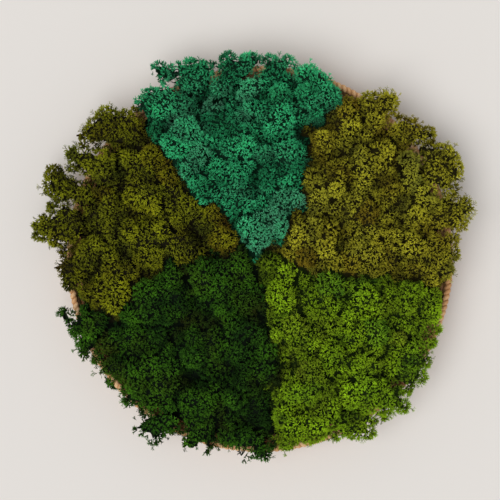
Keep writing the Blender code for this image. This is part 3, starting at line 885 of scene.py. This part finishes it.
def sprig_rotation(add, given, normal, lobe_middle):
    """Upright on the skin, leaning out from its lobe's middle, with a turn and a tilt of its own."""
    from_middle = vector(add, "SUBTRACT", add("GeometryNodeInputPosition"), lobe_middle)
    outwards = vector(add, "SCALE", from_middle, Scale=given["Lobe lean"] / given["Lobe size"])
    up = vector(add, "ADD", normal, outwards)
    upright = add("FunctionNodeAlignRotationToVector", {"axis": "Z"}, {"Vector": up})
    jitter = chance(add, "FLOAT_VECTOR", (-1, -1, -1), (1, 1, 1), given["Seed"] + 1)
    most = add("ShaderNodeCombineXYZ", None, {"X": given["Tilt"], "Y": given["Tilt"], "Z": math.pi})
    jitter = vector(add, "MULTIPLY", jitter, most)
    jitter = add("FunctionNodeEulerToRotation", None, {"Euler": jitter})
    values = {"Rotation": upright, "Rotate By": jitter}
    return add("FunctionNodeRotateRotation", {"rotation_space": "LOCAL"}, values)


def moss_tree():
    add, given, end = new_tree("plant a clump", MOSS_INPUTS)
    seed = given["Seed"]
    points = add(
        "GeometryNodeDistributePointsOnFaces",
        {"distribute_method": "POISSON"},
        {
            "Mesh": given["Geometry"],
            "Distance Min": given["Spacing"],
            "Density Max": THICKEST,
            "Density Factor": numbered(add, "dense"),
            "Seed": seed,
        },
    )
    normal = points.output("Normal")
    lobes = add(
        "ShaderNodeTexVoronoi",
        {"voronoi_dimensions": "3D", "feature": "F1"},
        {"Scale": 1 / given["Lobe size"], "Randomness": 0.9},
    )
    # The distance from the lobe's middle is kept for the material, which paints shade at a lobe's edge.
    settled = stored(add, points, "lobe", lobes)
    settled = stored(add, settled, "shade", chance(add, "FLOAT", 0.0, 1.0, seed))
    lift = vector(add, "SCALE", normal, Scale=(LOBE_MIDDLE - lobes) * given["Lobe height"] * 2)
    moved = add("GeometryNodeSetPosition", None, {"Geometry": settled, "Offset": lift})
    stray = (numbered(add, "rim") - chance(add, "FLOAT", 0.0, 1.0, seed + 5)).above(0.0)
    reach = numbered(add, "reach").at_least(stray * given["Stray size"])
    settings = {"data_type": "FLOAT", "operation": "GREATER_THAN"}
    open_one = add("FunctionNodeCompare", settings, {"A": reach, "B": 0.0})
    sprig = chance(add, "INT", 0, SPRIG_KINDS - 1, seed + 2)
    spray = chance(add, "INT", SPRIG_KINDS, SPRIG_KINDS + SPRAY_KINDS - 1, seed + 3)
    size = switched(add, "FLOAT", open_one, 1.0, reach)
    kinds = add(
        "GeometryNodeCollectionInfo",
        None,
        {"Collection": given["Sprigs"], "Separate Children": True, "Reset Children": True},
    )
    grown = realized(
        add,
        moved,
        kinds,
        Pick_Instance=True,
        Instance_Index=switched(add, "INT", open_one, sprig, spray),
        Rotation=sprig_rotation(add, given, normal, lobes.output("Position")),
        Scale=size * chance(add, "FLOAT", *SPRIG_SIZES, seed + 4),
    )
    # The core takes the ramp's near-black inside colour: painted shade.
    core = stored(add, object_shape(add, given["Core"]), "tip", -1.0)
    parts = [core, grown, object_shape(add, given["Stems"])]
    joined = add("GeometryNodeJoinGeometry", None, {"Geometry": parts})
    return dressed(add, joined, given, end)


# %% [markdown]
# ## The colours of the moss
#
# The dye takes unevenly: some heads are browner or greyer than the rest. The tips are painted lightest and
# the inside of a head nearly black, which is painted shade deep in the tuft. All five colours share one
# recipe. A number runs from the dark inside to the light tips, and a ramp turns it into colour. It sinks in
# the creases between lobes and heads, as painted shade, and slow noise over the heap adds the drift from
# head to head.

# %% The moss materials
# Each colour is (inside, middle, tips, browner, greyer) in linear light. The inside is painted shade, for
# the deep tuft and its dark core.
DYES = {
    "teal": [
        (0.001, 0.020, 0.008), (0.011, 0.180, 0.068), (0.064, 0.700, 0.285),
        (0.020, 0.170, 0.045), (0.140, 0.450, 0.270),
    ],
    "olive": [
        (0.014, 0.012, 0.001), (0.130, 0.121, 0.006), (0.635, 0.610, 0.036),
        (0.250, 0.140, 0.007), (0.180, 0.220, 0.040),
    ],
    "lime": [
        (0.009, 0.020, 0.001), (0.110, 0.186, 0.004), (0.390, 0.655, 0.013),
        (0.240, 0.280, 0.019), (0.070, 0.270, 0.020),
    ],
    "forest": [
        (0.001, 0.005, 0.001), (0.011, 0.043, 0.002), (0.076, 0.245, 0.009),
        (0.085, 0.070, 0.006), (0.025, 0.110, 0.017),
    ],
    "khaki": [
        (0.007, 0.006, 0.001), (0.057, 0.062, 0.002), (0.370, 0.400, 0.010),
        (0.150, 0.080, 0.004), (0.090, 0.125, 0.014),
    ],
}

# How much each stored number lightens the moss. Tip, sky and lobe paint shade: dark roots deep in a tuft,
# dark creases that see little sky, and dark edges of each lobe. Tone is the lightness given for each head,
# painted darker in the hollows and bare places, and shade varies at random from sprig to sprig.
LIGHT_SHARES = {"tip": 0.70, "shade": 0.20, "tone": 0.16, "sky": 0.55, "lobe": -0.25}
LIGHT_START = -0.29
# A dark stop low on the ramp: more painted shade deep in the tuft.
DEEP_STOP = 0.22
DEEP_SHARE = 0.45
DRIFT_SHARE = 0.7
DRIFT_SCALE = 38.0
HUE_SCALE = 30.0
HUE_SHARE = 1.8
TINT_SHARE = 0.5


def new_material(name, specular):
    """Returns the material, its nodes and its shader."""
    material = bpy.data.materials.new(name)
    material.use_nodes = True
    shader = material.node_tree.nodes["Principled BSDF"]
    shader.inputs["Specular IOR Level"].default_value = specular
    shader.inputs["Roughness"].default_value = 0.9
    return material, Nodes(material.node_tree), shader


def noise(add, vector, scale, detail):
    """Noise that runs either way from 0."""
    return add("ShaderNodeTexNoise", None, {"Vector": vector, "Scale": scale, "Detail": detail}) - 0.5


def attribute(add, name):
    return add("ShaderNodeAttribute", {"attribute_name": name}).output("Fac")


def mixed(add, share, first, second):
    """A mix of two colours."""
    settings = {"data_type": "RGBA", "clamp_factor": True}
    return add("ShaderNodeMix", settings, {"Factor": share, "A": first, "B": second})


def moss_material(name, dye):
    inside, middle, tips, browner, greyer = dye
    material, add, shader = new_material(name, 0.15)
    place = add("ShaderNodeTexCoord").output("Object")
    light = noise(add, place, DRIFT_SCALE, 2.0) * DRIFT_SHARE + LIGHT_START
    for number, share in LIGHT_SHARES.items():
        light = light + attribute(add, number) * share
    deep = [DEEP_SHARE * part for part in middle]
    stops = [(0.0, inside), (DEEP_STOP, deep), (0.5, middle), (1.0, tips)]
    colour = add("ShaderNodeValToRGB", {"stops": stops}, {"Fac": light})
    tint = attribute(add, "tint") * TINT_SHARE + noise(add, place, HUE_SCALE, 3.0) * HUE_SHARE
    tint = tint * attribute(add, "tip").at_least(0.0)
    colour = mixed(add, tint, colour, (*browner, 1))
    colour = mixed(add, tint * -1.0, colour, (*greyer, 1))
    add.fill(shader.inputs["Base Color"], colour)
    return material


moss_materials = {name: moss_material(f"{name}_moss", dye) for name, dye in DYES.items()}
print("moss colours:", ", ".join(moss_materials))

# %% Grow the moss
def dress(piece, solid, slot):
    """Puts a piece under the root body and hides the solid that it takes the place of."""
    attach(piece, "root")
    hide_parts(solid)


SPACING = 0.00345
LOBE_SIZE = 0.0095
LOBE_HEIGHT = 0.0016
LOBE_LEAN = 0.9
TILT = 0.35
STRAY_SIZE = 0.36   # of a stray spray at the edge, against one of full length

plant = moss_tree()
faces = 0
for number, name in enumerate(sorted(heads)):
    guide = guide_for(name)
    core = core_for(name)
    stems = stems_for(name)
    colour = name.split("_")[0]
    values = {
        "Core": core,
        "Stems": stems,
        "Sprigs": sprigs,
        "Spacing": SPACING,
        "Lobe size": LOBE_SIZE,
        "Lobe height": LOBE_HEIGHT,
        "Lobe lean": LOBE_LEAN,
        "Tilt": TILT,
        "Stray size": STRAY_SIZE,
        "Seed": 10 * number,
        "Material": moss_materials[colour],
    }
    mesh = apply_tree(guide, plant, values)
    for helper in (guide, core, stems):
        bpy.data.objects.remove(helper)
    dress(shown(f"{name}_twigs", mesh), name, colour)
    mesh.calc_loop_triangles()
    faces += len(mesh.loop_triangles)
print(faces, "triangles of moss")

# %% [markdown]
# ## The wicker
#
# Peeled wicker is a thin willow rod: pale tan, with faint streaks along it. It is painted darker, as shade,
# where
# one rod crosses another: at the edges of the border's strip and on the rod under it. Streaks are noise
# that is
# squeezed across the rod. Here the rods run in every direction, so the noise is read in a rod's own terms
# instead:
# each tube stores how far along and around it a point is.

# %% The wicker material
WICKER_DARK = (0.250, 0.105, 0.035)
WICKER_MIDDLE = (0.640, 0.340, 0.145)
WICKER_LIGHT = (0.880, 0.640, 0.380)
STREAK_SCALE = 5.0
STREAK_LENGTH = 0.12  # the noise runs this much more slowly along a rod
STREAK_SHARE = 1.1
PATCH_SCALE = 24.0
PATCH_SHARE = 0.6
ROD_SHARE = 0.45      # from rod to rod
# Painted shade at the edges of the border's strip.
EDGE_SHADE_SHARE = 0.45
WICKER_START = 0.44


def wicker_material():
    material, add, shader = new_material("peeled_wicker", 0.35)
    shade = attribute(add, "shade")
    thread = {"X": attribute(add, "along") * STREAK_LENGTH, "Y": attribute(add, "around"), "Z": shade}
    thread = add("ShaderNodeCombineXYZ", None, thread)
    streaks = noise(add, thread, STREAK_SCALE, 4.0)
    patches = noise(add, add("ShaderNodeTexCoord").output("Object"), PATCH_SCALE, 2.0)
    light = streaks * STREAK_SHARE + patches * PATCH_SHARE + shade * ROD_SHARE
    light = light - attribute(add, "edge") * EDGE_SHADE_SHARE + WICKER_START
    stops = [(0.0, WICKER_DARK), (0.5, WICKER_MIDDLE), (1.0, WICKER_LIGHT)]
    add.fill(shader.inputs["Base Color"], add("ShaderNodeValToRGB", {"stops": stops}, {"Fac": light}))
    add.fill(shader.inputs["Roughness"], 0.62 - streaks * 0.3)
    bump = {"Strength": 0.35, "Distance": 0.0003, "Height": streaks}
    add.fill(shader.inputs["Normal"], add("ShaderNodeBump", None, bump))
    return material


wicker = wicker_material()
print(wicker.name, "has", len(wicker.node_tree.nodes), "nodes")

# %% [markdown]
# ## The border
#
# The tray's edge is a thick rod with a flat strip of wicker wound round it, turn against turn. One turn is
# a small mesh. Geometry Nodes puts it round the rod 215 times, as close as the turns in the photograph,
# and leans each turn the same way. The rod inside stays out of sight.

# %% One turn of the strip
BORDER_RADIUS = (border_high[2] - border_low[2]) / 2
BORDER_Z = (border_high[2] + border_low[2]) / 2
BORDER_CIRCLE = TRAY_RADIUS - BORDER_RADIUS
TURNS = 215
STRIP_HALF_WIDTH = math.tau * BORDER_CIRCLE / TURNS * 0.52
STRIP_HALF_THICKNESS = 0.0009
TURN_LEAN = math.radians(32)
TURN_STEPS = 12

# A strip's section: how far across and how far out, as shares of its half width and half thickness.
STRIP_SECTION = [(-1.0, -0.4), (-0.8, 0.35), (0.0, 1.0), (0.8, 0.35), (1.0, -0.4)]


def turn_mesh(collection):
    """One turn round the Y axis, which will lie along the border. It leans along Y as it goes round."""
    points, faces, along, around, edge = [], [], [], [], []
    circle = BORDER_RADIUS - STRIP_HALF_THICKNESS
    for step in range(TURN_STEPS):
        angle = math.tau * step / TURN_STEPS
        shift = math.tan(TURN_LEAN) * circle * math.cos(angle)
        for across, out in STRIP_SECTION:
            reach = circle + out * STRIP_HALF_THICKNESS
            place = across * STRIP_HALF_WIDTH + shift
            points.append((reach * math.cos(angle), place, reach * math.sin(angle)))
            along.append(angle)
            around.append(across)
            # Painted shade: darker towards the strip's edges, where it meets the next turn.
            edge.append(abs(across) ** 3)
    count = len(STRIP_SECTION)
    for step in range(TURN_STEPS):
        for side in range(count - 1):
            here = step * count + side
            there = (step + 1) % TURN_STEPS * count + side
            faces.append((here, there, there + 1, here + 1))
    mesh = mesh_from("turn", np.array(points), np.array(faces), along=along, around=around, edge=edge)
    return shown("turn", mesh, collection)


one_turn = bpy.data.collections.new("one_turn")
turn = turn_mesh(one_turn)
print(len(turn.data.polygons), "faces in a turn")

# %% Wind the border
BORDER_INPUTS = {
    "Turn": "Object", "Turns": "Int", "Radius": "Float", "Height": "Float", "Rod": "Float",
    "Seed": "Int",
}
TURN_SHIFT = 0.0025  # how far a turn may lie from its place, in radians round the border
TURN_TILT = 0.05


def circle_of(add, points, radius):
    values = {"Resolution": points, "Radius": radius}
    return add("GeometryNodeCurvePrimitiveCircle", {"mode": "RADIUS"}, values)


def border_tree():
    add, given, end = new_tree("wind a border", BORDER_INPUTS)
    seed = given["Seed"]
    up = add("ShaderNodeCombineXYZ", None, {"Z": given["Height"]})
    circle = circle_of(add, given["Turns"], given["Radius"])
    circle = add("GeometryNodeTransform", None, {"Geometry": circle, "Translation": up})
    points = add("GeometryNodeCurveToPoints", {"mode": "EVALUATED"}, {"Curve": circle})
    spots = stored(add, points, "shade", chance(add, "FLOAT", 0.0, 1.0, seed))
    angle = add("GeometryNodeInputIndex") / given["Turns"] * math.tau
    angle = angle + chance(add, "FLOAT", -TURN_SHIFT, TURN_SHIFT, seed + 1)
    tilt = chance(add, "FLOAT", -TURN_TILT, TURN_TILT, seed + 2)
    facing = add("ShaderNodeCombineXYZ", None, {"X": tilt, "Z": angle})
    size = chance(add, "FLOAT", 0.97, 1.0, seed + 3)
    wound = realized(add, spots, object_shape(add, given["Turn"]), Rotation=facing, Scale=size)
    profile = circle_of(add, 8, given["Rod"])
    rod = add("GeometryNodeCurveToMesh", None, {"Curve": circle, "Profile Curve": profile})
    # The rod under the turns takes the full painted shade of an edge.
    parts = [wound, stored(add, rod, "edge", 1.0)]
    joined = add("GeometryNodeJoinGeometry", None, {"Geometry": parts})
    return dressed(add, joined, given, end)


border_mesh = made_by(
    border_tree(),
    {
        "Turn": turn,
        "Turns": TURNS,
        "Radius": BORDER_CIRCLE,
        "Height": BORDER_Z,
        "Rod": BORDER_RADIUS - 2 * STRIP_HALF_THICKNESS,
        "Seed": 4,
        "Material": wicker,
    },
)
dress(shown("wound_border", border_mesh), "tray_border", "wicker")
print(len(border_mesh.polygons), "faces in the border")

# %% [markdown]
# ## The woven wall and floor
#
# Stakes stand up from the floor, and rods go round them, in front of one stake and behind the next. The
# row above does the opposite, and that is all a weave is. Every row is a circle whose points move in and
# out as a cosine, half a wave to a stake. The floor is woven the same way, with spokes for stakes and rows
# that move up and down. So one tree makes every row, and a second one makes stakes and spokes.

# %% A woven row
FOOT_RADIUS = 0.156
WALL_THICKNESS = 0.0045
wall_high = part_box("tray_wall")[1]
WALL_TOP = float(wall_high[2])
WALL_RADIUS = float(wall_high[0])
FLOOR_THICKNESS = float(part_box("tray_floor")[1][2])
STAKES = 48

ROW_INPUTS = {
    "Steps": "Int", "Radius": "Float", "Height": "Float", "Sway": "Float", "Lift": "Float",
    "Waves": "Int", "Phase": "Float", "Half width": "Float", "Half thickness": "Float",
}
ROD_SIDES = 6


def swept(add, path, given):
    """A tube along a path. It stores how far along, in millimetres, and around it each point is."""
    path = stored(add, path, "along", add("GeometryNodeSplineParameter").output("Length") * 1000)
    profile = stored(add, circle_of(add, ROD_SIDES, 1.0), "around", add("GeometryNodeSplineParameter"))
    size = {"X": given["Half width"], "Y": given["Half thickness"], "Z": 1.0}
    size = add("ShaderNodeCombineXYZ", None, size)
    profile = add("GeometryNodeTransform", None, {"Geometry": profile, "Scale": size})
    values = {"Curve": path, "Profile Curve": profile, "Fill Caps": True}
    return add("GeometryNodeCurveToMesh", None, values)


def row_tree():
    add, given, end = new_tree("weave a row", ROW_INPUTS)
    angle = add("GeometryNodeInputIndex") / given["Steps"] * math.tau
    wave = (angle * given["Waves"] + given["Phase"]).cosine()
    reach = given["Radius"] + wave * given["Sway"]
    height = given["Height"] + wave * given["Lift"]
    spot = {"X": angle.cosine() * reach, "Y": angle.sine() * reach, "Z": height}
    spot = add("ShaderNodeCombineXYZ", None, spot)
    circle = circle_of(add, given["Steps"], 1.0)
    moved = add("GeometryNodeSetPosition", None, {"Geometry": circle, "Position": spot})
    level = add("GeometryNodeSetCurveNormal", {"mode": "Z_UP"}, {"Curve": moved})
    return dressed(add, swept(add, level, given), given, end)


def wall_radius(height):
    """The middle of the wall's thickness: it swings out from the foot and ends upright."""
    outside = FOOT_RADIUS + (WALL_RADIUS - FOOT_RADIUS) * math.sin(height / WALL_TOP * math.pi / 2)
    return outside - WALL_THICKNESS / 2


# %% Stakes and spokes
RIB_INPUTS = {
    "Path": "Object", "Count": "Int", "Half width": "Float", "Half thickness": "Float",
}


def rib_tree():
    add, given, end = new_tree("stakes round a middle", RIB_INPUTS)
    path = add("GeometryNodeMeshToCurve", None, {"Mesh": object_shape(add, given["Path"])})
    points = add("GeometryNodePoints", None, {"Count": given["Count"]})
    angle = add("GeometryNodeInputIndex") / given["Count"] * math.tau
    facing = add("ShaderNodeCombineXYZ", None, {"Z": angle})
    spots = stored(add, points, "shade", chance(add, "FLOAT", 0.0, 1.0, 5))
    ribs = realized(add, spots, swept(add, path, given), Rotation=facing)
    return dressed(add, ribs, given, end)


def ribs_along(points, values):
    """Copies of a rod along a path of points, turned round the tray's middle."""
    path = bpy.data.meshes.new("rib_path")
    path.from_pydata(points, [(i, i + 1) for i in range(len(points) - 1)], [])
    path = shown("rib_path", path)
    mesh = made_by(rib, {"Path": path, "Material": wicker} | values)
    bpy.data.objects.remove(path)
    return mesh


def joined(name, meshes):
    """Several meshes as one object."""
    work = bmesh.new()
    for mesh in meshes:
        work.from_mesh(mesh)
    whole = bpy.data.meshes.new(name)
    work.to_mesh(whole)
    work.free()
    whole.materials.append(wicker)
    return shown(name, whole)


weave = row_tree()
rib = rib_tree()

# %% Weave the wall
WALL_ROWS = 10
ROW_HALF_HEIGHT = WALL_TOP / WALL_ROWS / 2
ROW_HALF_WIDTH = 0.0019
ROW_SWAY = 0.0007
STAKE_RADIUS = 0.0011

wall_meshes = []
for row in range(WALL_ROWS):
    height = (row + 0.5) * 2 * ROW_HALF_HEIGHT
    values = {
        "Steps": STAKES * 4,
        "Radius": wall_radius(height),
        "Height": height,
        "Sway": ROW_SWAY,
        "Waves": STAKES // 2,
        "Phase": math.pi * (row % 2),
        "Half width": ROW_HALF_WIDTH,
        "Half thickness": ROW_HALF_HEIGHT * 1.1,
    }
    wall_meshes.append(made_by(weave, {"Material": wicker} | values))
stake_path = [(wall_radius(height), 0, height) for height in np.linspace(0.0012, WALL_TOP, 8)]
stake_values = {"Count": STAKES, "Half width": STAKE_RADIUS, "Half thickness": STAKE_RADIUS}
wall_meshes.append(ribs_along(stake_path, stake_values))
wall = joined("woven_wall", wall_meshes)
dress(wall, "tray_wall", "wicker")
print(len(wall.data.polygons), "faces in the wall")

# %% Weave the floor
FLOOR_ROWS = 27
FLOOR_HOLE = 0.010       # radius in the middle, where the spokes cross
FLOOR_LIFT = 0.0008
FLOOR_ROD = 0.0011
SPOKES = 24

floor_meshes = []
row_width = (FOOT_RADIUS - FLOOR_HOLE) / FLOOR_ROWS
for row in range(FLOOR_ROWS):
    values = {
        "Steps": SPOKES * 4,
        "Radius": FLOOR_HOLE + (row + 0.5) * row_width,
        "Height": FLOOR_THICKNESS / 2,
        "Lift": FLOOR_LIFT,
        "Waves": SPOKES // 2,
        "Phase": math.pi * (row % 2),
        "Half width": row_width / 2,
        "Half thickness": FLOOR_ROD,
    }
    floor_meshes.append(made_by(weave, {"Material": wicker} | values))
spoke_path = [(radius, 0, FLOOR_THICKNESS / 2) for radius in np.linspace(0.0, FOOT_RADIUS - 0.002, 6)]
spoke_values = {"Count": SPOKES, "Half width": FLOOR_ROD, "Half thickness": FLOOR_ROD}
floor_meshes.append(ribs_along(spoke_path, spoke_values))
floor = joined("woven_floor", floor_meshes)
dress(floor, "tray_floor", "wicker")
print(len(floor.data.polygons), "faces in the floor")

# %% [markdown]
# ## Floor, light and camera

# %% The set
bpy.ops.mesh.primitive_plane_add(size=6)
ground = bpy.context.object
ground.name = "ground"
paper, _, shader = new_material("pale_ground", 0.5)
shader.inputs["Base Color"].default_value = (0.775, 0.748, 0.722, 1)
ground.data.materials.append(paper)
ground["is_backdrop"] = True

world = bpy.data.worlds.new("soft_room")
world.use_nodes = True
background = world.node_tree.nodes["Background"]
background.inputs["Color"].default_value = (1.0, 0.995, 0.985, 1)
background.inputs["Strength"].default_value = 0.42
bpy.context.scene.world = world

KEY_FROM = (-0.42, -0.32, 1.25)  # the side that the light comes from
key_light = bpy.data.lights.new("soft_box", "SUN")
key_light.angle = math.radians(52)
key_light.energy = 1.95
key_light.color = (1.0, 0.99, 0.975)
key = shown("soft_box", key_light)
key.rotation_euler = Vector(KEY_FROM).to_track_quat("Z", "Y").to_euler()

# %% The camera
FIELD = math.radians(19.7)
FRAME_PIXELS = 500
camera_data = bpy.data.cameras.new("camera")
camera_data.sensor_width = 36
camera_data.angle = FIELD
camera = shown("camera", camera_data)
above_border = BORDER_PIXEL * FRAME_PIXELS / 2 / math.tan(FIELD / 2)
camera.location = (
    (FRAME_PIXELS / 2 - PICTURE_MIDDLE[0]) * BORDER_PIXEL,
    (PICTURE_MIDDLE[1] - FRAME_PIXELS / 2) * BORDER_PIXEL,
    TRAY_HEIGHT + above_border,
)
bpy.context.scene.camera = camera
bpy.context.scene.view_settings.view_transform = "Standard"

# %% Finish
[[list(corner) for corner in box] for box in (cad_box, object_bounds())]
